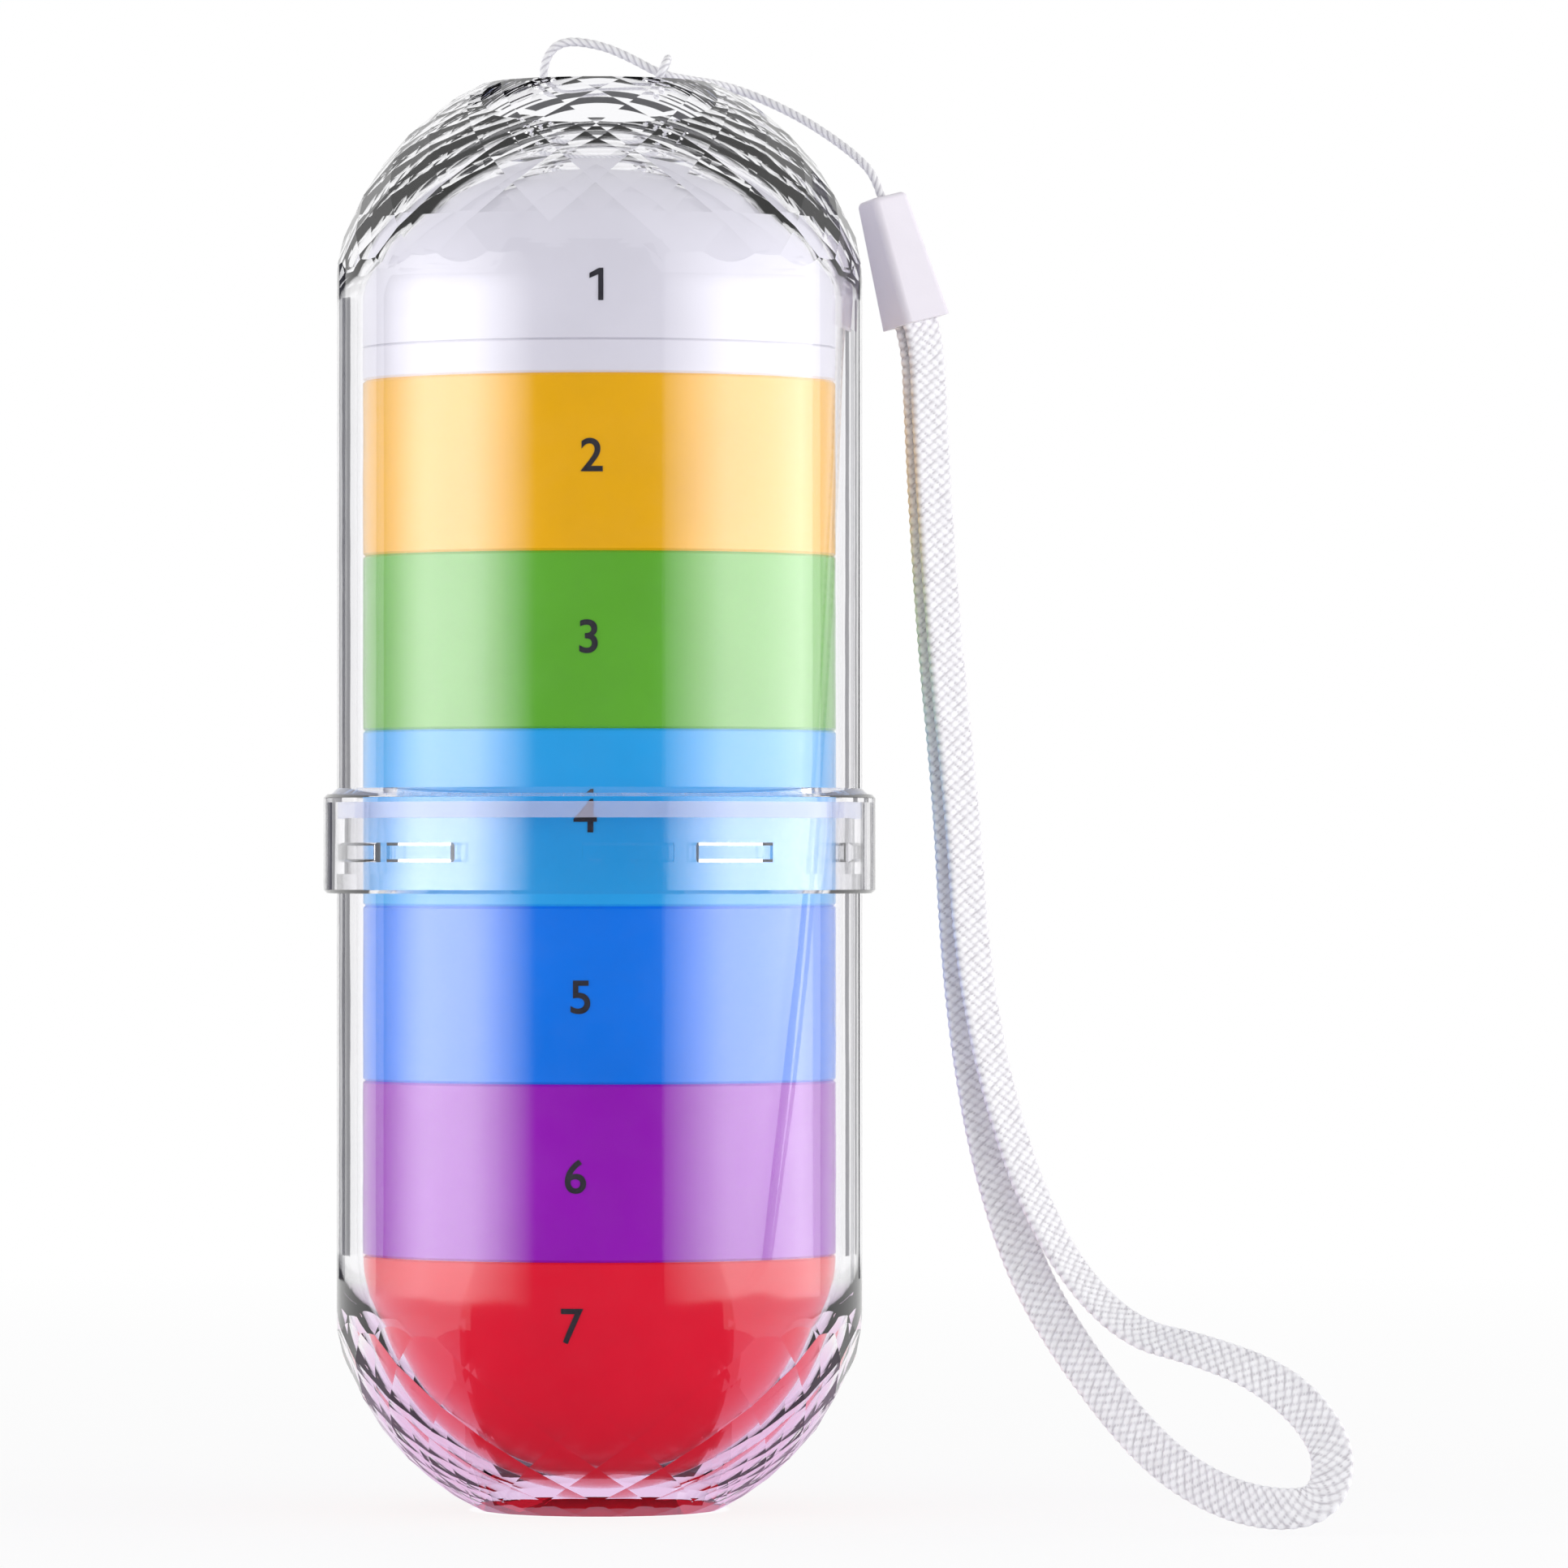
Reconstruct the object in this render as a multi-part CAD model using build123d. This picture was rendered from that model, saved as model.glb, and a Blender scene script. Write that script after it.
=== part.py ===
from build123d import *
import math
import os

# Weekly pill organizer: a clear capsule-shaped case with gem-cut ends, holding a stack of day cups.
# Millimetres, +Z up. The origin is the centre of the case's flat base.
# The front faces -Y. Angles on the case are measured from the front towards +X.

# Overall
case_height = 122.0
shell_r = 22.5  # outside of both clear halves
shell_wall = 1.65
case_floor = 3.2  # thickness under the stack
crown_thickness = 2.3

# Gem-cut ends: rings of corners on a ball, every second one turned by half a facet
gem_sides = 18
gem_proud = 0.8  # how far the ball's middle stands outside the round wall
gem_flat_r = 10.3  # ball's radius where the flat at the end cuts it

# Neck of the lower half, seal, and collar of the upper half
neck_rim = 59.15
neck_height = 4.75
neck_wall = 1.0
seal_height = 1.35
seal_inset = 0.1  # seal's bore outside the shells' bore
seal_gap = 0.17  # between the seal and the skirt
collar_proud = 1.15  # how far the collar stands outside the wall
collar_drop = 1.65  # how far the skirt hangs below the foot of the neck
collar_lid = 0.7  # thickness of the shoulder that presses on the seal
collar_bevel = 0.3
collar_flare = 0.5  # slope between the collar's top and the wall
skirt_gap = 0.12  # between the skirt and the lower half's wall inside it

# Lugs: five on the neck and five inside the skirt, at one height, turn about between each other
lug_count = 5
lug_lift = 1.0  # above the foot of the neck
lug_height = 1.65
lug_bevel = 0.25
lug_gap = 0.17  # between a lug and the wall that it faces
neck_lug_start = -2.6
neck_lug_arc = 19.6
skirt_lug_start = 22.2
skirt_lug_arc = 18.0

# Cups
cup_count = 5  # middle cups
cup_clearance = 0.6  # round the stack, inside the case
cup_wall = 2.05
cup_floor = 1.2
cup_neck_wall = 0.9
cup_neck_height = 1.7
cup_fit = 0.15  # round a neck, inside the recess above it
cup_neck_gap = 0.2  # over a neck
cup_bevel = 0.2
well_bevel = 1.2  # between a cup's floor and its wall, inside

# Round-bottomed cup
bowl_foot_r = 9.08  # the flat on which it stands
bowl_floor = 1.5
bowl_rim = 0.6  # straight side under the seam

# Top compartment: a low base and a domed lid
base_height = 2.9
base_neck_height = 2.3
dome_side = 4.2  # straight side over the seam
dome_rise = 13.6
dome_shoulder = 11.0
dome_wall = 1.55
dome_headroom = 2.6  # between the lid and the crown
crown_rise = 16.2
crown_shoulder = 11.0

# Cord holes through the crown
eye_x = 4.7
eye_r = 1.1
eye_bevel = 0.35

# Lanyard
cord_d = 0.7
cord_sides = 6
strand_offset = 0.5  # each strand from the middle of the doubled cord
strap_width = 3.6
strap_thickness = 0.8
leg_offset = 0.65  # each leg of the strap from the middle
clamp_top = (24.14, 0.0, 112.4)
clamp_bottom = (27.13, 0.0, 101.67)
clamp_turn = 33.0  # about its own length
clamp_wide_end = (4.7, 4.3)
clamp_narrow_end = (3.6, 3.0)
clamp_corner = 0.6
clamp_round = 0.5  # round the narrow end
bend_share = 0.45  # of the shorter run beside a corner, taken by the corner's arc

# Middle line of the doubled cord: from the clamp, over the crown, through the bight and into hole B,
# along under the crown and up hole A
doubled_route = [
    (24.14, 0.0, 112.4),
    (23.64, 0.0, 114.2),
    (22.0, 0.8, 116.0),
    (19.6, 2.2, 117.9),
    (16.6, 4.0, 119.9),
    (12.4, 5.5, 121.9),
    (9.6, 3.55, 122.45),
    (7.5, 1.75, 122.6),
    (5.2, 0.0, 122.95),
    (2.6, 0.0, 124.4),
    (0.0, 0.0, 125.5),
    (-3.4, 0.0, 125.9),
    (-4.9, 0.0, 124.0),
    (-4.7, 0.0, 120.8),
    (-4.4, 0.0, 119.1),
    (-2.7, 0.0, 118.4),
    (0.0, 0.0, 118.25),
    (2.7, 0.0, 118.4),
    (4.4, 0.0, 119.1),
    (4.75, 0.0, 120.6),
]
# One side of the bight, from hole A up round the doubled cord
bight_side = [
    (4.9, 0.6, 121.95),
    (5.15, 1.65, 122.65),
    (5.55, 1.65, 123.6),
    (5.85, 0.65, 124.3),
]
# Middle line of the strap: out of the clamp, down the back leg, round the loop and up the front leg
strap_down = [
    (27.13, 0.0, 101.67),
    (27.707, 0.0, 99.6),
    (27.9, -0.6, 95.2),
    (28.3, -1.5, 86.1),
    (29.1, -3.0, 73.6),
    (30.3, -5.0, 61.1),
    (30.9, -7.5, 49.3),
    (32.0, -10.5, 39.0),
    (33.8, -14.0, 29.5),
    (36.7, -18.0, 20.5),
    (41.4, -22.5, 13.0),
    (47.0, -27.0, 6.2),
    (52.2, -30.8, 3.0),
]
strap_turn = [
    (56.8, -33.0, 1.9),
    (60.4, -33.0, 2.7),
    (61.4, -31.2, 6.4),
    (59.2, -28.8, 10.2),
]
strap_up = [
    (55.0, -26.8, 13.0),
    (49.6, -24.8, 14.9),
    (44.6, -22.4, 16.0),
    (39.9, -19.0, 20.4),
    (36.2, -15.6, 27.3),
    (33.3, -12.1, 36.6),
    (31.4, -8.6, 47.4),
    (30.7, -5.8, 59.0),
    (29.4, -3.7, 71.4),
    (28.4, -2.0, 84.6),
    (27.9, -0.8, 94.6),
    (27.707, 0.0, 99.6),
    (27.13, 0.0, 101.67),
]

# Which way the strap's width points, at shares of its length. It lies turned like the clamp at the
# top, faces the front lower down, folds over at the tip, and comes back on edge
strap_facing = [
    (0.0, (0.84, 0.54, 0.0)),
    (0.2, (0.84, 0.54, 0.0)),
    (0.3, (0.95, 0.3, 0.25)),
    (0.4, (0.7, 0.0, 0.7)),
    (0.47, (0.4, 0.0, 0.92)),
    (0.49, (0.1, 0.25, 0.96)),
    (0.505, (-0.4, 0.65, 0.65)),
    (0.52, (-1.0, 0.2, 0.1)),
    (0.54, (-0.9, 0.3, -0.35)),
    (0.57, (-0.35, -0.6, -0.7)),
    (0.62, (-0.3, -0.8, -0.5)),
    (0.7, (-0.7, -0.7, -0.2)),
    (0.78, (-0.84, -0.54, 0.0)),
    (1.0, (-0.84, -0.54, 0.0)),
]
strap_turn_step = 12.0  # most that an arc turns between two of the strap's sections

# Sizes that follow from those above, from outside to inside
shell_bore_r = shell_r - shell_wall
gem_ring_r = shell_r + gem_proud
gem_flat_height = math.sqrt(gem_ring_r**2 - gem_flat_r**2)
neck_r = shell_bore_r + neck_wall
skirt_bore_r = shell_r + skirt_gap
collar_r = shell_r + collar_proud
lug_depth = skirt_bore_r - neck_r - lug_gap
cup_r = shell_bore_r - cup_clearance
cup_bore_r = cup_r - cup_wall
cup_neck_r = cup_bore_r + cup_neck_wall
recess_r = cup_neck_r + cup_fit
recess_depth = cup_neck_height + cup_neck_gap

# Heights of the collar, from the neck's rim
neck_foot = neck_rim - neck_height
lug_bottom = neck_foot + lug_lift
collar_bottom = neck_foot - collar_drop
collar_seat = neck_rim + seal_height
collar_top = collar_seat + collar_lid

# Heights of the stack: up from the floor, and down from the crown. The middle cups share the rest
bowl_centre = case_floor + math.sqrt(cup_r**2 - bowl_foot_r**2)
first_seam = bowl_centre + bowl_rim
crown_inside = case_height - crown_thickness
crown_spring = crown_inside - crown_rise
dome_top = crown_inside - dome_headroom
dome_spring = dome_top - dome_rise
dome_seam = dome_spring - dome_side
base_seam = dome_seam - base_height
cup_pitch = (base_seam - first_seam) / cup_count


def on_front_angle(degrees):
    """A place turned about the case's axis, from an angle counted from the front."""
    return Rot(0, 0, degrees - 90)


def turned(edges):
    """A solid turned about Z from its half outline in the XZ plane."""
    return revolve(make_face(edges), Axis.Z)


def outline(*corners):
    """A closed half outline. A corner is (radius, height), or (radius, height, bevel)."""
    points = []
    for before, corner, after in zip(corners[-1:] + corners[:-1], corners, corners[1:] + corners[:1]):
        place = Vector(corner[0], 0, corner[1])
        if len(corner) == 2:
            points.append(place)
            continue
        for neighbour in (before, after):
            side = Vector(neighbour[0], 0, neighbour[1]) - place
            points.append(place + side.normalized() * corner[2])
    return Polyline(*points, close=True)


def arch(radius, spring, top, shoulder):
    """Two tangent arcs from the wall at the spring line up to the axis, as on a three-centred arch."""
    rise = top - spring
    reach = radius - shoulder
    drop = (reach**2 - (rise - shoulder) ** 2) / (2 * (rise - shoulder))
    crown_r = rise + drop
    shoulder_end = math.atan2(drop, reach)
    middle = shoulder_end / 2
    joint = (reach + shoulder * math.cos(shoulder_end), 0, spring + shoulder * math.sin(shoulder_end))
    halfway = (reach + shoulder * math.cos(middle), 0, spring + shoulder * math.sin(middle))
    crown_turn = (shoulder_end + math.pi / 2) / 2
    near_top = (crown_r * math.cos(crown_turn), 0, spring - drop + crown_r * math.sin(crown_turn))
    return [
        ThreePointArc((radius, 0, spring), halfway, joint),
        ThreePointArc(joint, near_top, (0, 0, top)),
    ]


def domed_plug(radius, bottom, spring, top, shoulder):
    """A solid round bar with an arched top."""
    return turned(
        [
            Line((0, 0, bottom), (radius, 0, bottom)),
            Line((radius, 0, bottom), (radius, 0, spring)),
            *arch(radius, spring, top, shoulder),
            Line((0, 0, top), (0, 0, bottom)),
        ]
    )


def bowl_plug(radius, centre_z, flat_z, top, bevel=0.0):
    """A solid round bar whose lower end is a ball about centre_z, cut flat at flat_z."""
    flat_r = math.sqrt(radius**2 - (centre_z - flat_z) ** 2)
    turn = math.atan2(centre_z - flat_z, flat_r) / 2
    halfway = (radius * math.cos(turn), 0, centre_z - radius * math.sin(turn))
    side = [(radius, 0, centre_z), (radius, 0, top - bevel)]
    if bevel:
        side.append((radius - bevel, 0, top))
    return turned(
        [
            Line((0, 0, flat_z), (flat_r, 0, flat_z)),
            ThreePointArc((flat_r, 0, flat_z), halfway, (radius, 0, centre_z)),
            Polyline(*side, (0, 0, top), (0, 0, flat_z)),
        ]
    )


def gem_rings():
    """Radius and height of each ring of corners on the ball, from its middle to past the flat.

    A new ring lies where the line from the ring before last, through the middle of a side of the
    last ring, meets the ball again. That makes the four corners of every kite lie in one plane.
    """
    half_side = math.pi / gem_sides
    rings = [(gem_ring_r, 0), (gem_ring_r * math.cos(half_side), gem_ring_r * math.sin(half_side))]
    while rings[-1][1] < gem_flat_height:
        (low_r, low_z), (last_r, last_z) = rings[-2:]
        run = last_r * math.cos(half_side) - low_r
        rise = last_z - low_z
        reach = -2 * (low_r * run + low_z * rise) / (run**2 + rise**2)
        rings.append((low_r + reach * run, low_z + reach * rise))
    return rings


def gem_end(flat_z, start_z):
    """The many-sided end of the case, from start_z to past the flat."""
    upward = 1 if flat_z > start_z else -1
    widest_z = flat_z - upward * gem_flat_height
    rings = gem_rings()
    last_ring = len(rings) - 1

    def corner(ring, side):
        radius, height = rings[ring]
        angle = 2 * math.pi * side / gem_sides
        return (radius * math.cos(angle), radius * math.sin(angle), widest_z + upward * height)

    def below(side):
        x, y, _ = corner(0, side)
        return (x, y, start_z)

    sides = range(gem_sides)
    faces = [[below(side) for side in sides]]
    for side in sides:
        faces.append([below(side), below(side + 1), corner(0, side + 1), corner(0, side)])
        faces.append([corner(0, side), corner(0, side + 1), corner(1, side + 0.5)])
    for ring in range(1, last_ring):
        turn = 0.5 * (ring % 2)
        for side in sides:
            low = corner(ring - 1, side + turn + 0.5)
            left = corner(ring, side + turn)
            right = corner(ring, side + turn + 1)
            high = corner(ring + 1, side + turn + 0.5)
            faces.append([low, right, high, left])
    turn = 0.5 * (last_ring % 2)
    for side in sides:
        low = corner(last_ring - 1, side + turn + 0.5)
        faces.append([low, corner(last_ring, side + turn + 1), corner(last_ring, side + turn)])
    faces.append([corner(last_ring, side + turn) for side in sides])
    return Solid(Shell([Face(Wire.make_polygon(face, close=True)) for face in faces]))


def lugs(root_r, free_r, start, arc):
    """The ring of lugs, each a short stretch of a flat ring, bevelled on its free side."""
    block = outline(
        (root_r, lug_bottom),
        (free_r, lug_bottom, lug_bevel),
        (free_r, lug_bottom + lug_height, lug_bevel),
        (root_r, lug_bottom + lug_height),
    )
    lug = revolve(make_face(block), Axis.Z, revolution_arc=arc)
    return [on_front_angle(start + 360 * turn / lug_count) * lug for turn in range(lug_count)]


def make_lower_shell():
    middle_z = neck_foot - collar_flare
    wall = turned(
        outline(
            (0, 0),
            (shell_r, 0),
            (shell_r, neck_foot),
            (neck_r, neck_foot),
            (neck_r, neck_rim),
            (0, neck_rim),
        )
    )
    uncut = Pos(0, 0, middle_z + shell_r) * Cylinder(2 * shell_r, 2 * shell_r)
    body = wall & (gem_end(0, middle_z) + uncut)
    body -= bowl_plug(shell_bore_r, first_seam, case_floor, neck_rim)
    for lug in lugs(neck_r - skirt_gap, neck_r + lug_depth, neck_lug_start, neck_lug_arc):
        body += lug
    return body


def make_upper_shell():
    middle_z = collar_top + collar_flare
    wall = turned(
        outline(
            (0, collar_bottom),
            (collar_r, collar_bottom, collar_bevel),
            (collar_r, collar_top, collar_bevel),
            (shell_r, collar_top, collar_flare),
            (shell_r, case_height),
            (0, case_height),
        )
    )
    uncut = Pos(0, 0, middle_z - shell_r) * Cylinder(2 * shell_r, 2 * shell_r)
    body = wall & (gem_end(case_height, middle_z) + uncut)
    body -= domed_plug(shell_bore_r, collar_bottom, crown_spring, crown_inside, crown_shoulder)
    body -= turned(
        outline(
            (0, collar_bottom),
            (skirt_bore_r, collar_bottom),
            (skirt_bore_r, collar_seat),
            (0, collar_seat),
        )
    )
    for lug in lugs(skirt_bore_r + skirt_gap, skirt_bore_r - lug_depth, skirt_lug_start, skirt_lug_arc):
        body += lug
    for side in (-1, 1):
        eye = turned(
            outline(
                (0, dome_top),
                (eye_r, dome_top),
                (eye_r, case_height - eye_bevel),
                (eye_r + eye_bevel, case_height),
                (0, case_height),
            )
        )
        body -= Pos(side * eye_x, 0, 0) * eye
    return body


def make_seal_ring():
    inner_r = shell_bore_r + seal_inset
    outer_r = skirt_bore_r - seal_gap
    return turned(
        outline(
            (inner_r, neck_rim),
            (outer_r, neck_rim),
            (outer_r, collar_seat),
            (inner_r, collar_seat),
        )
    )


def make_cup(seam):
    """A middle cup: a recess underneath, a well, and a neck for the next cup."""
    top = seam + cup_pitch
    floor_top = seam + recess_depth + cup_floor
    neck_top = top + cup_neck_height
    return turned(
        outline(
            (0, seam + recess_depth),
            (recess_r, seam + recess_depth),
            (recess_r, seam),
            (cup_r, seam, cup_bevel),
            (cup_r, top, cup_bevel),
            (cup_neck_r, top),
            (cup_neck_r, neck_top, cup_bevel),
            (cup_bore_r, neck_top),
            (cup_bore_r, floor_top, well_bevel),
            (0, floor_top),
        )
    )


def make_bottom_cup():
    """The round-bottomed cup, with a small flat to stand on."""
    neck_top = first_seam + cup_neck_height
    body = bowl_plug(cup_r, bowl_centre, case_floor, first_seam, cup_bevel)
    body += turned(
        outline(
            (0, bowl_centre),
            (cup_neck_r, bowl_centre),
            (cup_neck_r, neck_top, cup_bevel),
            (0, neck_top),
        )
    )
    return body - bowl_plug(cup_bore_r, bowl_centre, case_floor + bowl_floor, neck_top)


def make_top_base():
    """The low base of the top compartment, whose neck carries the domed lid."""
    floor_top = base_seam + recess_depth + cup_floor
    neck_top = dome_seam + base_neck_height
    return turned(
        outline(
            (0, base_seam + recess_depth),
            (recess_r, base_seam + recess_depth),
            (recess_r, base_seam),
            (cup_r, base_seam, cup_bevel),
            (cup_r, dome_seam, cup_bevel),
            (cup_neck_r, dome_seam),
            (cup_neck_r, neck_top, cup_bevel),
            (cup_bore_r, neck_top),
            (cup_bore_r, floor_top),
            (0, floor_top),
        )
    )


def make_dome():
    """The domed lid. Its rim fits over the base's neck."""
    skirt_top = dome_seam + base_neck_height + cup_neck_gap
    body = domed_plug(cup_r, dome_seam, dome_spring, dome_top, dome_shoulder)
    body -= domed_plug(
        cup_r - dome_wall,
        dome_seam,
        dome_spring,
        dome_top - dome_wall,
        dome_shoulder - dome_wall,
    )
    body -= turned(
        outline(
            (0, dome_seam),
            (recess_r, dome_seam),
            (recess_r, skirt_top),
            (0, skirt_top),
        )
    )
    return body


def tube_path(name, points):
    """Straight runs joined by tangent arcs, each arc as large as its two runs allow."""
    places = [Vector(*point) for point in points]
    radii = []
    for before, corner, after in zip(places, places[1:], places[2:]):
        arriving = corner - before
        leaving = after - corner
        half_turn = math.radians(arriving.get_angle(leaving)) / 2
        radii.append(bend_share * min(arriving.length, leaving.length) / math.tan(half_turn))
    print(name, "radii", [round(radius, 1) for radius in radii])
    return FilletPolyline(*places, radius=radii)


def strand(side):
    """One strand of the doubled cord, beside its middle line."""
    return [(x, y + side * strand_offset, z) for x, y, z in doubled_route]


def make_lanyard_cord():
    there = strand(1) + bight_side
    back = strand(-1) + [(x, -y, z) for x, y, z in bight_side]
    path = tube_path("lanyard cord", there + back[::-1])
    section = Plane(origin=path @ 0, z_dir=path % 0) * RegularPolygon(cord_d / 2, cord_sides)
    cord = sweep(section, path=path)
    print("lanyard cord length", round(path.length, 1))
    print("lanyard cord volume share", round(cord.volume / (path.length * section.area), 4))
    return cord


def clamp_face(place):
    """A plane square to the clamp's length, with X along its broad side and Y away from its front."""
    along = Vector(*clamp_top) - Vector(*clamp_bottom)
    turn = math.radians(clamp_turn)
    across = Vector(along.Z, 0, -along.X).normalized() * math.cos(turn)
    return Plane(origin=place, x_dir=across + Vector(0, 1, 0) * math.sin(turn), z_dir=along)


def leg(points, side):
    """One leg of the strap, beside the middle line."""
    shift = clamp_face(clamp_bottom).y_dir * side * leg_offset
    return [Vector(*point) + shift for point in points]


def facing(share):
    """The strap's width direction at a share of its length."""
    for (low, before), (high, after) in zip(strap_facing, strap_facing[1:]):
        if share <= high:
            break
    blend = (share - low) / (high - low)
    return Vector(*before) * (1 - blend) + Vector(*after) * blend


def strap_section(edge, place, share):
    """The strap's section at a place on one edge of its path."""
    plane = Plane(origin=edge @ place, x_dir=facing(share), z_dir=edge % place)
    return plane * Rectangle(strap_width, strap_thickness)


def make_wrist_strap():
    path = tube_path("wrist strap", leg(strap_down, 1) + strap_turn + leg(strap_up, -1))
    sections = [strap_section(path.edges()[0], 0, 0)]
    travelled = 0
    for edge in path.edges():
        pieces = 1 + int((edge % 0).get_angle(edge % 1) / strap_turn_step)
        for piece in range(1, pieces + 1):
            along = travelled + edge.length * piece / pieces
            sections.append(strap_section(edge, piece / pieces, min(along / path.length, 1)))
        travelled += edge.length
    strap = loft(sections, ruled=True)
    print("wrist strap length", round(path.length, 1))
    share = strap.volume / (path.length * strap_thickness * strap_width)
    print("wrist strap volume share", round(share, 4))
    return strap


def tapered(wide, narrow, length):
    """A side view of the clamp, standing on its wide end."""
    return Polygon(
        (-wide / 2, 0),
        (wide / 2, 0),
        (narrow / 2, length),
        (-narrow / 2, length),
        align=None,
    )


def make_cord_clamp():
    """A block that tapers both ways from the strap's end to the cord's, and is rounded there."""
    length = (Vector(*clamp_top) - Vector(*clamp_bottom)).length
    front, side = [tapered(wide, narrow, length) for wide, narrow in zip(clamp_wide_end, clamp_narrow_end)]
    block = extrude(Plane.XZ * front, clamp_wide_end[1], both=True)
    block &= extrude(Plane.YZ * side, clamp_wide_end[0], both=True)
    corners = block.edges().sort_by(SortBy.LENGTH)[-4:]
    block = fillet(corners, clamp_corner)
    top = block.faces().sort_by(Axis.Z)[-1]
    return clamp_face(clamp_bottom) * fillet(top.edges(), clamp_round)


parts = {
    "lower_shell": make_lower_shell(),
    "upper_shell": make_upper_shell(),
    "seal_ring": make_seal_ring(),
    "cup_7_red": make_bottom_cup(),
    "cup_1_base": make_top_base(),
    "cup_1_dome": make_dome(),
    "lanyard_cord": make_lanyard_cord(),
    "wrist_strap": make_wrist_strap(),
    "cord_clamp": make_cord_clamp(),
}
for place, name in enumerate(["cup_6_purple", "cup_5_blue", "cup_4_sky", "cup_3_green", "cup_2_yellow"]):
    parts[name] = make_cup(first_seam + place * cup_pitch)

os.makedirs("parts", exist_ok=True)
for name, part in parts.items():
    part.label = name
    export_step(part, f"parts/{name}.step")
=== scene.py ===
"""Weekly pill organizer: a clear gem-ended capsule case, its stack of day cups, and a wrist lanyard."""

import math

import bmesh
import bpy
import numpy as np
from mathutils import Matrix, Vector


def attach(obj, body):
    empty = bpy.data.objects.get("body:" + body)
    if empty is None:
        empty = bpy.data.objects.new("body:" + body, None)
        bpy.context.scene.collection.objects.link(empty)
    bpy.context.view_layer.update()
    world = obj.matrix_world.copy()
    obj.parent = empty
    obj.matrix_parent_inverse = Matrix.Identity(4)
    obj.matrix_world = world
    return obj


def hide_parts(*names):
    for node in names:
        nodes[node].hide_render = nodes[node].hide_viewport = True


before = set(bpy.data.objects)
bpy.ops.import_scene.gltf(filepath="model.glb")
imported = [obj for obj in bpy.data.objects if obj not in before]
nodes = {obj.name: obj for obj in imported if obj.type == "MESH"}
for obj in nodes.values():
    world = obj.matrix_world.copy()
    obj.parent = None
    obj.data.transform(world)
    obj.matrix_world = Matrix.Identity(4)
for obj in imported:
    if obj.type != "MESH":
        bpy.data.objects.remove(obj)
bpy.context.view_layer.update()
MM = 0.001


# Camera, as far away as the photograph's perspective says

camera = bpy.data.objects.new("camera", bpy.data.cameras.new("camera"))
bpy.context.scene.collection.objects.link(camera)
bpy.context.scene.camera = camera
CAMERA_X = 15.8  # right of the case, so that the lanyard has room in the frame
CAMERA_AWAY = 860
CAMERA_Z = 55.55
AIM_Z = 62.1
camera.data.sensor_width = 36
camera.data.lens = 230.4
camera.location = Vector((CAMERA_X, -CAMERA_AWAY, CAMERA_Z)) * MM
aim = Vector((CAMERA_X, 0, AIM_Z)) * MM
camera.rotation_euler = (aim - camera.location).to_track_quat("-Z", "Y").to_euler()


# Shader helpers

class Shader:
    """A material, built node by node."""

    def __init__(self, name):
        self.material = bpy.data.materials.new(name)
        self.material.use_nodes = True
        self.tree = self.material.node_tree
        self.tree.nodes.clear()
        self.out = self.add("OutputMaterial")

    def add(self, kind, inputs=(), **settings):
        node = self.tree.nodes.new("ShaderNode" + kind)
        for name, value in settings.items():
            setattr(node, name, value)
        for name, value in dict(inputs).items():
            self.set(node, name, value)
        return node

    def set(self, node, name, value):
        socket = node.inputs[name]
        if isinstance(value, bpy.types.NodeSocket):
            self.tree.links.new(value, socket)
        else:
            socket.default_value = value

    def place(self):
        return self.add("TexCoord").outputs["Object"]

    def noise(self, scale, detail=3.0, roughness=0.55, place=None):
        inputs = {"Vector": place or self.place(), "Scale": scale, "Detail": detail, "Roughness": roughness}
        return self.add("TexNoise", inputs).outputs["Fac"]

    def ramp(self, factor, low, high, start=0.0, end=1.0):
        """factor from start..end to low..high"""
        inputs = {"Value": factor, "From Min": start, "From Max": end, "To Min": low, "To Max": high}
        return self.add("MapRange", inputs).outputs["Result"]

    def blend(self, factor, first, second, kind="MIX"):
        node = self.add("Mix", data_type="RGBA", blend_type=kind)
        self.set(node, 0, factor)
        self.set(node, 6, first)
        self.set(node, 7, second)
        return node.outputs[2]

    def math(self, operation, first, second):
        return self.add("Math", {0: first, 1: second}, operation=operation).outputs[0]

    def mixed(self, factor, first, second):
        """Two shaders, by a factor."""
        return self.add("MixShader", {0: factor, 1: first.outputs[0], 2: second.outputs[0]})

    def bump(self, height, distance, strength=1.0, normal=None):
        inputs = {"Height": height, "Distance": distance, "Strength": strength}
        if normal:
            inputs["Normal"] = normal
        return self.add("Bump", inputs).outputs["Normal"]

    def surface(self, inputs):
        return self.add("BsdfPrincipled", inputs)

    def finish(self, shader):
        self.tree.links.new(shader.outputs[0], self.out.inputs["Surface"])
        return self.material


def rgb(red, green, blue):
    return (red, green, blue, 1.0)


def shade(colour, factor):
    return rgb(*[min(1.0, channel * factor) for channel in colour[:3]])


def moulded(name, colour, low=0.16, high=0.26, gloss=0.4):
    """Injection-moulded plastic: faint flow marks in the colour, fine satin in the gloss."""
    s = Shader(name)
    flow = s.ramp(s.noise(70.0, 4.0), 0.0, 1.0, 0.3, 0.7)
    grain = s.noise(5200.0, 2.0)
    swirl = s.noise(420.0, 3.0)
    base = s.blend(flow, shade(colour, 0.94), shade(colour, 1.04))
    normal = s.bump(grain, 0.000012, 0.35, s.bump(swirl, 0.00004, 0.25))
    shader = s.surface(
        {
            "Base Color": base,
            "Roughness": s.ramp(swirl, low, high, 0.3, 0.7),
            "Normal": normal,
            "IOR": 1.5,
            "Specular IOR Level": gloss,
        }
    )
    return s.finish(shader)


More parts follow.
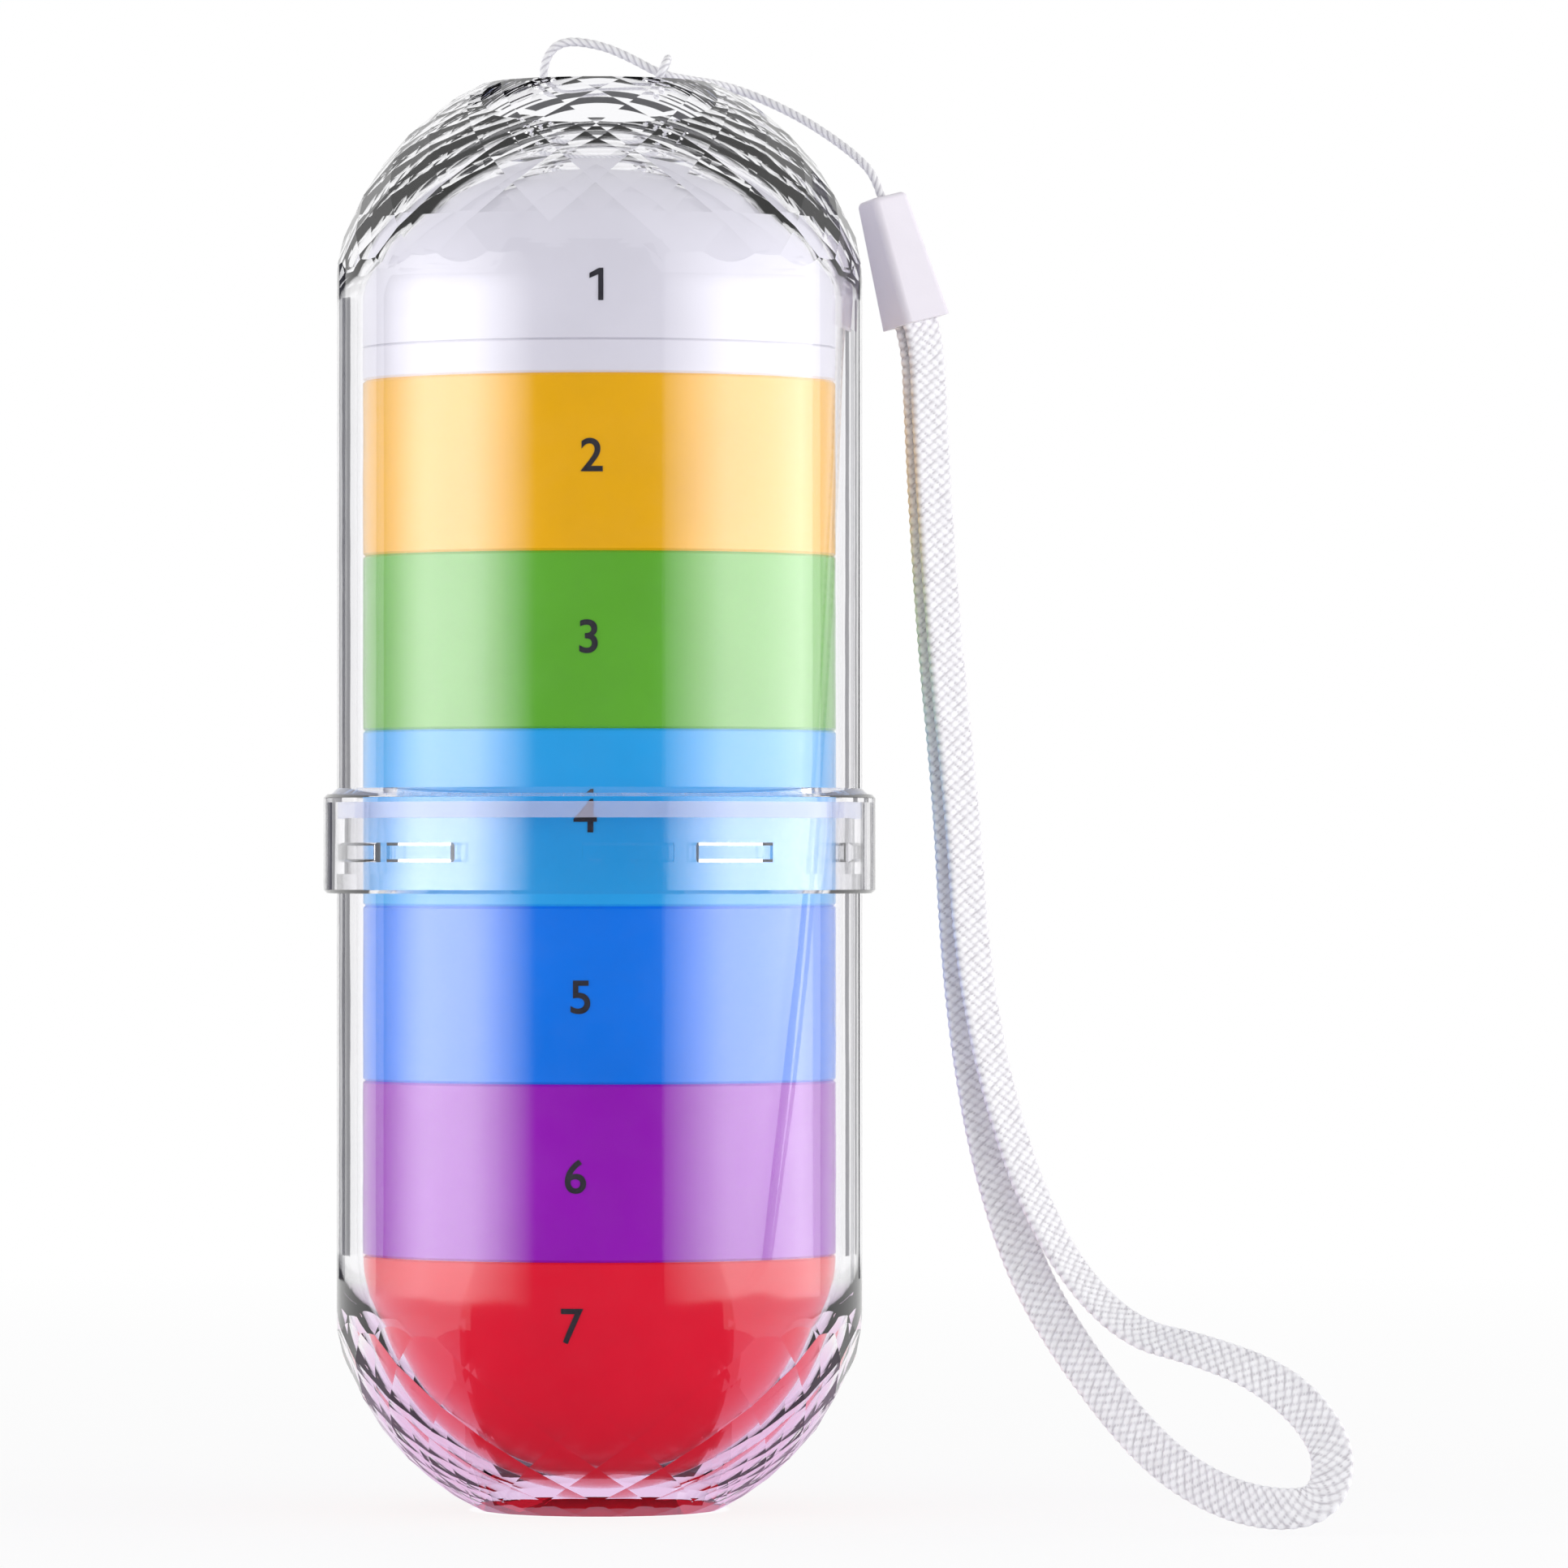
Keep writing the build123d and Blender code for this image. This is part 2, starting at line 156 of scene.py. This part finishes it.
def clear_plastic(name):
    """Clear polished plastic. Light reaches what is inside without caustics."""
    s = Shader(name)
    normal = s.bump(s.noise(95.0, 2.0), 0.0001, 0.12)
    glass = s.surface(
        {
            "Base Color": rgb(0.975, 0.972, 0.99),
            "Roughness": 0.025,
            "IOR": 1.49,
            "Transmission Weight": 1.0,
            "Normal": normal,
        }
    )
    open_way = s.add("BsdfTransparent", {"Color": rgb(0.95, 0.95, 0.97)})
    rays = s.add("LightPath").outputs
    either = s.math("MAXIMUM", rays["Is Shadow Ray"], rays["Is Diffuse Ray"])
    return s.finish(s.mixed(either, glass, open_way))


def frosted(name):
    """Soft, frosty sealing rubber, half see-through."""
    s = Shader(name)
    cloud = s.noise(300.0, 3.0)
    shader = s.surface(
        {
            "Base Color": s.blend(cloud, rgb(0.7, 0.68, 0.86), rgb(0.84, 0.83, 0.95)),
            "Roughness": s.ramp(cloud, 0.42, 0.58, 0.3, 0.7),
            "Alpha": 0.3,
            "Normal": s.bump(s.noise(3000.0), 0.00001, 0.5),
        }
    )
    return s.finish(shader)


def woven(name, light, dark):
    """White yarn, with painted shade in the weave's hollows: the deeper a point lies, the darker its colour.
    The mesh holds how deep each point lies in the weave.
    """
    s = Shader(name)
    depth = s.add("Attribute", attribute_name="depth").outputs["Fac"]
    fibre = s.noise(9000.0, 2.0)
    fuzz = s.noise(800.0, 4.0)
    # painted shade: the colour goes from light to dark where the weave lies deep, in the hollows between
    # yarns and strands
    base = s.blend(s.ramp(depth, 0.0, 1.0, 0.15, 0.8), dark, light)
    base = s.blend(s.ramp(fuzz, 0.0, 0.25, 0.35, 0.75), base, shade(dark, 0.9))
    shader = s.surface(
        {
            "Base Color": base,
            "Roughness": s.ramp(fibre, 0.62, 0.85, 0.3, 0.7),
            "Sheen Weight": 0.35,
            "Sheen Roughness": 0.4,
            "Normal": s.bump(fibre, 0.00003, 0.6),
        }
    )
    return s.finish(shader)


def ink(name):
    s = Shader(name)
    wear = s.noise(1500.0, 4.0)
    shader = s.surface(
        {
            "Base Color": s.blend(wear, rgb(0.012, 0.011, 0.016), rgb(0.035, 0.033, 0.045)),
            "Roughness": s.ramp(wear, 0.4, 0.6),
        }
    )
    return s.finish(shader)


# Finishes of the carried-over pieces

red = rgb(0.86, 0.008, 0.032)
purple = rgb(0.33, 0.006, 0.5)
blue = rgb(0.003, 0.2, 0.88)
sky = rgb(0.024, 0.41, 0.88)
green = rgb(0.13, 0.47, 0.034)
yellow = rgb(0.94, 0.48, 0.004)
white = rgb(0.79, 0.78, 0.83)

clear = clear_plastic("clear case")
white_plastic = moulded("white cup plastic", white, 0.3, 0.4, 0.2)
finishes = {
    "lower_shell": clear,
    "upper_shell": clear,
    "seal_ring": frosted("seal rubber"),
    "cup_7_red": moulded("red cup plastic", red, gloss=0.25),
    "cup_6_purple": moulded("purple cup plastic", purple),
    "cup_5_blue": moulded("blue cup plastic", blue),
    "cup_4_sky": moulded("sky cup plastic", sky),
    "cup_3_green": moulded("green cup plastic", green),
    "cup_2_yellow": moulded("yellow cup plastic", yellow),
    "cup_1_base": white_plastic,
    "cup_1_dome": white_plastic,
    "cord_clamp": moulded("clamp plastic", rgb(0.78, 0.745, 0.81), 0.38, 0.5),
}
for node, finish in finishes.items():
    for slot in nodes[node].material_slots:
        slot.material = finish


# Mesh helpers

def piece(name, vertices, faces, finish, body, slot):
    mesh = bpy.data.meshes.new(name)
    mesh.from_pydata([tuple(v) for v in vertices], [], faces)
    mesh.materials.append(finish)
    mesh.update()
    made = bpy.data.objects.new(name, mesh)
    bpy.context.scene.collection.objects.link(made)
    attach(made, body)
    return made


def route_points(name, points):
    """Points along the smooth line that follows a route."""
    curve = bpy.data.curves.new(name, "CURVE")
    curve.dimensions = "3D"
    curve.resolution_u = 24
    spline = curve.splines.new("NURBS")
    spline.points.add(len(points) - 1)
    for held, point in zip(spline.points, points):
        held.co = (*(Vector(point) * MM), 1.0)
    spline.order_u = 3
    spline.use_endpoint_u = True
    carrier = bpy.data.objects.new(name, curve)
    line = bpy.data.meshes.new_from_object(carrier)
    found = np.array([v.co for v in line.vertices])
    bpy.data.objects.remove(carrier)
    return found


def evenly(points, step):
    """The same line at even steps, with its length and the share of it at each point."""
    runs = np.linalg.norm(np.diff(points, axis=0), axis=1)
    along = np.concatenate([[0], np.cumsum(runs)])
    count = int(round(along[-1] / step))
    places = np.linspace(0, along[-1], count + 1)
    line = np.stack([np.interp(places, along, points[:, axis]) for axis in range(3)], axis=1)
    return line, places


def unit(vectors):
    return vectors / np.linalg.norm(vectors, axis=-1, keepdims=True)


def skin(line, across, up, profile_rings):
    """Vertices and quads round a line, closed at both ends. A ring is (sideways, upwards) pairs."""
    count = len(profile_rings[0])
    vertices = []
    for point, side, lift, ring in zip(line, across, up, profile_rings):
        vertices.extend(point + side * x + lift * y for x, y in ring)
    faces = []
    for ring in range(len(line) - 1):
        low, high = ring * count, (ring + 1) * count
        for place in range(count):
            after = (place + 1) % count
            faces.append((low + place, low + after, high + after, high + place))
    faces.append(tuple(reversed(range(count))))
    last = (len(line) - 1) * count
    faces.append(tuple(range(last, last + count)))
    return vertices, faces


def carried_frame(line, start):
    """Two directions square to the line, carried along it without twist."""
    tangents = unit(np.gradient(line, axis=0))
    side = np.array(start, float)
    sides = []
    for tangent in tangents:
        side = unit(side - tangent * side.dot(tangent))
        sides.append(side)
    sides = np.array(sides)
    return sides, np.cross(tangents, sides)


def hold_depth(made, depths):
    layer = made.data.attributes.new("depth", "FLOAT", "POINT")
    layer.data.foreach_set("value", np.array(depths, np.float32))
    made.data.polygons.foreach_set("use_smooth", [True] * len(made.data.polygons))


# Lanyard cord: two strands from the clamp, hitched through the crown's holes.
# Its route and the strap's are the source's own, in millimetres.

CORD_D = 0.7
CORD_STEP = 0.11 * MM
# Middle line of the doubled cord: from the clamp, over the crown, through the bight and into one hole,
# along under the crown and up the other hole
doubled_route = [
    (24.14, 0.0, 112.4),
    (23.64, 0.0, 114.2),
    (22.0, 0.8, 116.0),
    (19.6, 2.2, 117.9),
    (16.6, 4.0, 119.9),
    (12.4, 5.5, 121.9),
    (9.6, 3.55, 122.45),
    (7.5, 1.75, 122.6),
    (5.2, 0.0, 122.95),
    (2.6, 0.0, 124.4),
    (0.0, 0.0, 125.5),
    (-3.4, 0.0, 125.9),
    (-4.9, 0.0, 124.0),
    (-4.7, 0.0, 120.8),
    (-4.4, 0.0, 119.1),
    (-2.7, 0.0, 118.4),
    (0.0, 0.0, 118.25),
    (2.7, 0.0, 118.4),
    (4.4, 0.0, 119.1),
    (4.75, 0.0, 120.6),
]
# One side of the bight, from the second hole up round the doubled cord
bight_side = [
    (4.9, 0.6, 121.95),
    (5.15, 1.65, 122.65),
    (5.55, 1.65, 123.6),
    (5.85, 0.65, 124.3),
]
STRAND_OFFSET = 0.5  # each strand from the middle of the doubled cord
there = [(x, y + STRAND_OFFSET, z) for x, y, z in doubled_route] + bight_side
back = [(x, y - STRAND_OFFSET, z) for x, y, z in doubled_route] + [(x, -y, z) for x, y, z in bight_side]
cord_line, cord_places = evenly(route_points("lanyard route", there + back[::-1]), CORD_STEP)
cord_across, cord_up = carried_frame(cord_line, (0, 1, 0))

STRANDS = 3
LAY = 2.1 * MM  # length of one turn of a strand
ROUND = 18
GROOVE = 0.2  # share of the radius by which the cord sinks between two strands
rings, depths = [], []
for place in cord_places:
    ring = []
    for corner in range(ROUND):
        angle = 2 * math.pi * corner / ROUND
        lobe = abs(math.cos(STRANDS / 2 * (angle - 2 * math.pi * place / LAY)))
        radius = CORD_D / 2 * MM * (1 - GROOVE + GROOVE * lobe)
        ring.append((radius * math.cos(angle), radius * math.sin(angle)))
        depths.append(lobe)
    rings.append(ring)
# The second colour is painted shade in the grooves between the strands, laid on by how deep each point lies
white_yarn = woven("white cord yarn", rgb(0.86, 0.86, 0.87), rgb(0.55, 0.54, 0.58))
cord_skin = skin(cord_line, cord_across, cord_up, rings)
lanyard = piece("lanyard", *cord_skin, white_yarn, "cap", "white_cord")
hold_depth(lanyard, depths)
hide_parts("lanyard_cord")


# Wrist strap: one band of flat braid, folded back on itself into the clamp

STRAP_WIDTH = 3.6
STRAP_THICKNESS = 0.8
STRAP_STEP = 0.14 * MM
LEG_OFFSET = 0.65  # each leg from the middle
leg_side = Vector((-0.5246, 0.8387, -0.1462))  # from one leg to the other, across the clamp
# Middle line of the strap: out of the clamp, down the back leg, round the loop and up the front leg
strap_down = [
    (27.13, 0.0, 101.67),
    (27.707, 0.0, 99.6),
    (27.9, -0.6, 95.2),
    (28.3, -1.5, 86.1),
    (29.1, -3.0, 73.6),
    (30.3, -5.0, 61.1),
    (30.9, -7.5, 49.3),
    (32.0, -10.5, 39.0),
    (33.8, -14.0, 29.5),
    (36.7, -18.0, 20.5),
    (41.4, -22.5, 13.0),
    (47.0, -27.0, 6.2),
    (52.2, -30.8, 3.0),
]
strap_turn = [
    (56.8, -33.0, 1.9),
    (60.4, -33.0, 2.7),
    (61.4, -31.2, 6.4),
    (59.2, -28.8, 10.2),
]
strap_up = [
    (55.0, -26.8, 13.0),
    (49.6, -24.8, 14.9),
    (44.6, -22.4, 16.0),
    (39.9, -19.0, 20.4),
    (36.2, -15.6, 27.3),
    (33.3, -12.1, 36.6),
    (31.4, -8.6, 47.4),
    (30.7, -5.8, 59.0),
    (29.4, -3.7, 71.4),
    (28.4, -2.0, 84.6),
    (27.9, -0.8, 94.6),
    (27.707, 0.0, 99.6),
    (27.13, 0.0, 101.67),
]
# Which way the band's width points, as (share of the strap's length, direction)
strap_facing = [
    (0.0, (0.84, 0.54, 0.0)),
    (0.2, (0.84, 0.54, 0.0)),
    (0.3, (0.95, 0.3, 0.25)),
    (0.4, (0.7, 0.0, 0.7)),
    (0.47, (0.4, 0.0, 0.92)),
    (0.49, (0.1, 0.25, 0.96)),
    (0.505, (-0.4, 0.65, 0.65)),
    (0.52, (-1.0, 0.2, 0.1)),
    (0.54, (-0.9, 0.3, -0.35)),
    (0.57, (-0.35, -0.6, -0.7)),
    (0.62, (-0.3, -0.8, -0.5)),
    (0.7, (-0.7, -0.7, -0.2)),
    (0.78, (-0.84, -0.54, 0.0)),
    (1.0, (-0.84, -0.54, 0.0)),
]


def beside(points, side):
    return [tuple(Vector(point) + leg_side * LEG_OFFSET * side) for point in points]


strap_route = beside(strap_down, 1) + strap_turn + beside(strap_up, -1)
strap_line, strap_places = evenly(route_points("strap route", strap_route), STRAP_STEP)
shares = strap_places / strap_places[-1]
keys = [share for share, _ in strap_facing]
SMOOTHED = 30  # steps to each side over which the band's facing is averaged
smooth = np.hanning(2 * SMOOTHED + 1)
wanted = []
for axis in range(3):
    facing = np.interp(shares, keys, [direction[axis] for _, direction in strap_facing])
    wanted.append(np.convolve(np.pad(facing, SMOOTHED, mode="edge"), smooth / smooth.sum(), mode="valid"))
wanted = np.stack(wanted, axis=1)
strap_tangents = unit(np.gradient(strap_line, axis=0))
strap_across = unit(wanted - strap_tangents * np.sum(wanted * strap_tangents, axis=1, keepdims=True))
strap_up_way = np.cross(strap_tangents, strap_across)

# Outline of the band: two flat faces with round edges, as (sideways, upwards) and the way out at that place
FACE_POINTS = 15
EDGE_POINTS = 5
PITCH = 0.86 * MM  # along the band
SPREAD = 1.12 * MM  # across it
BRAID_DEPTH = 0.12 * MM
YARN_FULLNESS = 0.7  # below 1, a yarn's section is fuller than a sine
YARN_CROWN = 0.38  # how much a yarn dips towards its ends
half_width = STRAP_WIDTH / 2 * MM
half_thickness = STRAP_THICKNESS / 2 * MM
flat = half_width - half_thickness
outline = []
for side in (1, -1):
    for step in range(FACE_POINTS):
        outline.append((side * flat * (1 - 2 * step / (FACE_POINTS - 1)), side * half_thickness, 0.0, side))
    for step in range(1, EDGE_POINTS + 1):
        angle = side * math.pi / 2 + math.pi * step / (EDGE_POINTS + 1)
        out_x, out_y = math.cos(angle), math.sin(angle)
        outline.append((-side * flat + half_thickness * out_x, half_thickness * out_y, out_x, out_y))


def braid(sideways, along):
    """How high the braid's yarns stand at a place, from 0 to 1."""
    one = along / PITCH + sideways / SPREAD
    two = along / PITCH - sideways / SPREAD
    over = (math.floor(one) + math.floor(two)) % 2 == 0
    first, second = (one, two) if over else (two, one)
    ridge = math.sin(math.pi * (first % 1)) ** YARN_FULLNESS
    return ridge * (1 - YARN_CROWN + YARN_CROWN * math.sin(math.pi * (second % 1)))


rings, depths = [], []
for place in strap_places:
    ring = []
    for x, y, out_x, out_y in outline:
        lift = braid(x, place)
        sunk = BRAID_DEPTH * (1 - lift)
        ring.append((x - out_x * sunk, y - out_y * sunk))
        depths.append(lift)
    rings.append(ring)
# The second colour is painted shade between the braid's yarns, laid on by how deep each point lies
white_braid = woven("white braid yarn", rgb(0.92, 0.92, 0.94), rgb(0.56, 0.54, 0.58))
strap_skin = skin(strap_line, strap_across, strap_up_way, rings)
strap = piece("strap", *strap_skin, white_braid, "cap", "white_braid")
hold_depth(strap, depths)
strap.visible_glossy = False  # the photograph's clear wall doesn't mirror it
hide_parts("wrist_strap")


# Plain numbers, one to seven, printed on the cups

CUP_R = 20.25 * MM
BOWL_CENTRE_Z = 21.3 * MM  # the red cup curves in below this height
DOME_SPRING_Z = 103.5 * MM  # the lid curves in above this height
DOME_CORNER_R = 11.0 * MM
NUMBER_STEP = 0.22 * MM  # distance between the cuts that let a number follow its wall
NUMBER_PROUD = 0.03 * MM
NUMBER_THICKNESS = 0.04 * MM
# number, body, slot, place to the right, height of its middle
numbers = [
    ("1", "lid_1", "white_plastic", 0.1, 103.8),
    ("2", "cup_2", "yellow_plastic", -0.27, 89.5),
    ("3", "cup_3", "green_plastic", -0.54, 74.3),
    ("4", "cup_4", "sky_plastic", -0.8, 59.3),
    ("5", "cup_5", "blue_plastic", -1.2, 44.1),
    ("6", "cup_6", "purple_plastic", -1.6, 29.1),
    ("7", "cup_7", "red_plastic", -1.9, 16.6),
]
NUMBER_HEIGHT = 2.75 * MM
FONT_HEIGHT_SHARE = 0.7  # a number's height over the font's size
STROKE_ADDED = 0.045 * MM
black_ink = ink("number ink")


def number_shape(digit):
    """A number's flat shape. The one is drawn here, with a flag, because the font's is a bare bar."""
    if digit == "1":
        drawn = bpy.data.curves.new("number 1", "CURVE")
        drawn.dimensions = "2D"
        drawn.fill_mode = "BOTH"
        corners = [(0.42, 0), (0.42, 2.75), (0.06, 2.75), (-0.72, 2.3), (-0.72, 1.86), (0.0, 2.2), (0.0, 0)]
        spline = drawn.splines.new("POLY")
        spline.points.add(len(corners) - 1)
        for held, (x, y) in zip(spline.points, corners):
            held.co = (x * MM, y * MM, 0, 1)
        spline.use_cyclic_u = True
    else:
        drawn = bpy.data.curves.new("number " + digit, "FONT")
        drawn.body = digit
        drawn.align_x = "CENTER"
        drawn.size = NUMBER_HEIGHT / FONT_HEIGHT_SHARE
        drawn.offset = STROKE_ADDED
        drawn.resolution_u = 10
    drawn.extrude = NUMBER_THICKNESS / 2
    carrier = bpy.data.objects.new("number " + digit, drawn)
    shape = bpy.data.meshes.new_from_object(carrier)
    bpy.data.objects.remove(carrier)
    return shape


def cut_across(mesh, step):
    """Cuts a flat shape along level and upright lines, so that it can follow a curved wall."""
    cutter = bmesh.new()
    cutter.from_mesh(mesh)
    for axis in (0, 1):
        places = [vertex.co[axis] for vertex in cutter.verts]
        normal = Vector((1, 0, 0)) if axis == 0 else Vector((0, 1, 0))
        for turn in range(1, int((max(places) - min(places)) / step) + 1):
            parts = cutter.verts[:] + cutter.edges[:] + cutter.faces[:]
            cut = normal * (min(places) + turn * step)
            bmesh.ops.bisect_plane(cutter, geom=parts, plane_co=cut, plane_no=normal)
    cutter.to_mesh(mesh)
    cutter.free()


for digit, body, slot, x, z in numbers:
    shape = number_shape(digit)
    cut_across(shape, NUMBER_STEP)
    co = np.array([v.co for v in shape.vertices])
    middle = (co.min(0) + co.max(0)) / 2
    angle = (co[:, 0] - middle[0] + x * MM) / CUP_R
    height = co[:, 1] - middle[1] + z * MM
    drop = np.maximum(0, BOWL_CENTRE_Z - height) if digit == "7" else np.zeros(len(co))
    surface_r = np.sqrt(CUP_R**2 - drop**2)
    if digit == "1":
        rise = np.maximum(0, height - DOME_SPRING_Z)
        surface_r = CUP_R - DOME_CORNER_R + np.sqrt(DOME_CORNER_R**2 - rise**2)
    radius = surface_r + NUMBER_PROUD + co[:, 2]
    vertices = np.stack([radius * np.sin(angle), -radius * np.cos(angle), height], axis=1)
    faces = [tuple(polygon.vertices) for polygon in shape.polygons]
    piece("number_" + digit, vertices, faces, black_ink, body, slot)


# Studio: pale floor, white surroundings, soft boxes at both sides.
# Its lengths are in metres, and its angles in degrees from the camera's side towards +X.

def stage_piece(name, vertices, faces, finish):
    mesh = bpy.data.meshes.new(name)
    mesh.from_pydata(vertices, [], faces)
    mesh.materials.append(finish)
    made = bpy.data.objects.new(name, mesh)
    bpy.context.scene.collection.objects.link(made)
    return made


CARD_STEPS = 32


def unseen_band(name, start, end, finish, pair):
    """A band round the object that the camera doesn't see and that casts no shadow.

    pair gives its two points for a direction.
    """
    vertices, faces = [], []
    for step in range(CARD_STEPS + 1):
        angle = math.radians(start + (end - start) * step / CARD_STEPS)
        vertices += pair(math.sin(angle), -math.cos(angle))
    for step in range(CARD_STEPS):
        faces.append((2 * step, 2 * step + 2, 2 * step + 3, 2 * step + 1))
    made = stage_piece(name, vertices, faces, finish)
    made.visible_camera = False
    made.visible_shadow = False
    return made


def card(name, start, end, low, high, radius, finish):
    """A standing curved card."""

    def pair(x, y):
        return [(radius * x, radius * y, z) for z in (low, high)]

    return unseen_band(name, start, end, finish, pair)


BOX_RADIUS = 0.45
BOX_HEIGHT = 0.29
BOX_FULL_HEIGHT = 0.17  # a box is at full strength up to here


def glow(name, strength, fades):
    """A soft box's front. It fades towards its top, and round the object from one angle to another."""
    s = Shader(name)
    parts = s.add("SeparateXYZ", {"Vector": s.place()}).outputs
    turn = s.math("ARCTAN2", parts["X"], s.math("MULTIPLY", parts["Y"], -1.0))
    level = s.ramp(parts["Z"], strength, 0.0, BOX_FULL_HEIGHT, BOX_HEIGHT)
    for start, end in fades:
        level = s.math("MULTIPLY", s.ramp(turn, 0.0, 1.0, math.radians(start), math.radians(end)), level)
    return s.finish(s.add("Emission", {"Color": rgb(1.0, 0.99, 1.0), "Strength": level}))


def flat_glow(name, colour, strength=1.0):
    """One even colour that gives its own light."""
    s = Shader(name)
    return s.finish(s.add("Emission", {"Color": colour, "Strength": strength}))


def reflected_only(name, colour):
    """A flag's finish for reflections alone. A ray straight through the clear shell passes the flag."""
    s = Shader(name)
    reflected = s.math("GREATER_THAN", s.add("LightPath").outputs["Glossy Depth"], 0.5)
    return s.finish(s.mixed(reflected, s.add("BsdfTransparent"), s.add("Emission", {"Color": colour})))


for name, start, end, strength, fades in [
    ("right", 29, 112, 3.7, [(24, 58), (126, 104)]),
    ("left", -112, -27, 3.9, [(-27, -56), (-112, -82)]),
]:
    card(name + " soft box", start, end, 0.0, BOX_HEIGHT, BOX_RADIUS, glow(name + " glow", strength, fades))

# Flags give the clear walls and the gem cut their dark lines
DARK = rgb(0.03, 0.03, 0.035)
dark = flat_glow("flag", DARK)
front_dark = reflected_only("front flag", DARK)
grey = reflected_only("back flag", rgb(0.1, 0.1, 0.12))
flags = [
    card("front flag", -50, 29, 0.0, 0.6, 0.5, front_dark),
    card("right back flag", 143, 148.5, 0.0, 0.15, 0.48, grey),
    card("right outer flag", 158, 162, 0.0, 0.15, 0.48, grey),
    card("left back flag", -160, -146, 0.0, 0.15, 0.48, grey),
    card("rear high flag", 152, 208, 0.52, 0.72, 0.5, dark),
    card("right high flag", 150, 165, 0.39, 0.43, 0.46, dark),
    card("left high flag", -165, -150, 0.39, 0.43, 0.46, dark),
]

FOOT_R = 0.0112  # of the case's flat foot
PATCH_Z = -0.00001
FLOOR_Z = -0.00002


def floor_patch(name, inner, outer, start, end, finish):
    """Part of a flat ring on the floor."""

    def pair(x, y):
        return [(radius * x, radius * y, PATCH_Z) for radius in (outer, inner)]

    return unseen_band(name, start, end, finish, pair)


floor_dark = reflected_only("dark floor flag", rgb(0.08, 0.05, 0.07))
flags.append(floor_patch("dark patch", FOOT_R, 0.5, -55, 55, floor_dark))
for flag in flags:
    flag.visible_diffuse = False

# A small light under the foot that reaches nothing but the cup above it
foot_glow = flat_glow("foot glow", rgb(1, 0.85, 0.95), 0.9)
foot_light = floor_patch("foot light", 0.0, FOOT_R, 0, 360, foot_glow)
foot_light.visible_glossy = False
foot_light.visible_transmission = False

# Floor: paper for the shadow, and its own even light for the camera and for what the clear plastic shows;
# near the foot that light is painted lilac, a painted coloured glow under the case

floor_finish = Shader("floor")
paper = floor_finish.noise(40.0, 3.0)
diffuse = floor_finish.add(
    "BsdfDiffuse", {"Color": floor_finish.blend(paper, rgb(0.88, 0.88, 0.9), rgb(0.93, 0.93, 0.94))}
)
rays = floor_finish.add("LightPath").outputs
away = floor_finish.add("VectorMath", {0: floor_finish.place()}, operation="LENGTH").outputs["Value"]


def share_of(rays_in, near_share, far_share, start, end):
    """A share for some kinds of ray that changes with the distance from the object."""
    return floor_finish.math("MULTIPLY", rays_in, floor_finish.ramp(away, near_share, far_share, start, end))


through = floor_finish.math("MAXIMUM", rays["Is Glossy Ray"], rays["Is Transmission Ray"])
seen = share_of(rays["Is Camera Ray"], 0.84, 1.0, 0.05, 0.5)
own_light = floor_finish.math("MAXIMUM", seen, share_of(through, 0.76, 1.0, 0.03, 0.09))
# painted light: within a few centimetres of the foot, the floor's own light as seen through the clear
# plastic turns lilac, standing in for the pinkish light under the red cup
painted_lilac_glow = floor_finish.blend(share_of(through, 1.0, 0.0, 0.024, 0.08), rgb(1, 1, 1), rgb(0.87, 0.59, 0.9))
bright = floor_finish.add("Emission", {"Color": painted_lilac_glow, "Strength": 1.0})
HALF_FLOOR = 3.0
stage_piece(
    "floor",
    [(x * HALF_FLOOR, y * HALF_FLOOR, FLOOR_Z) for x, y in [(-1, -1), (1, -1), (1, 1), (-1, 1)]],
    [(0, 1, 2, 3)],
    floor_finish.finish(floor_finish.mixed(own_light, diffuse, bright)),
)

# Surroundings: full white for the camera and for what the clear plastic shows, softer as light on the object

LIGHT_LEVEL = 0.71
world = bpy.data.worlds.new("studio")
bpy.context.scene.world = world
world.use_nodes = True
tree = world.node_tree
tree.nodes.clear()
world_out = tree.nodes.new("ShaderNodeOutputWorld")
background = tree.nodes.new("ShaderNodeBackground")
background.inputs["Color"].default_value = rgb(1, 1, 1)
rays = tree.nodes.new("ShaderNodeLightPath")
first, second = [tree.nodes.new("ShaderNodeMath") for _ in range(2)]
first.operation = second.operation = "MAXIMUM"
level = tree.nodes.new("ShaderNodeMapRange")
level.inputs["To Min"].default_value = LIGHT_LEVEL
level.inputs["To Max"].default_value = 1.0
tree.links.new(rays.outputs["Is Camera Ray"], first.inputs[0])
tree.links.new(rays.outputs["Is Glossy Ray"], first.inputs[1])
tree.links.new(first.outputs[0], second.inputs[0])
tree.links.new(rays.outputs["Is Transmission Ray"], second.inputs[1])
tree.links.new(second.outputs[0], level.inputs["Value"])
tree.links.new(level.outputs["Result"], background.inputs["Strength"])
tree.links.new(background.outputs[0], world_out.inputs["Surface"])

bpy.context.scene.view_settings.view_transform = "Standard"
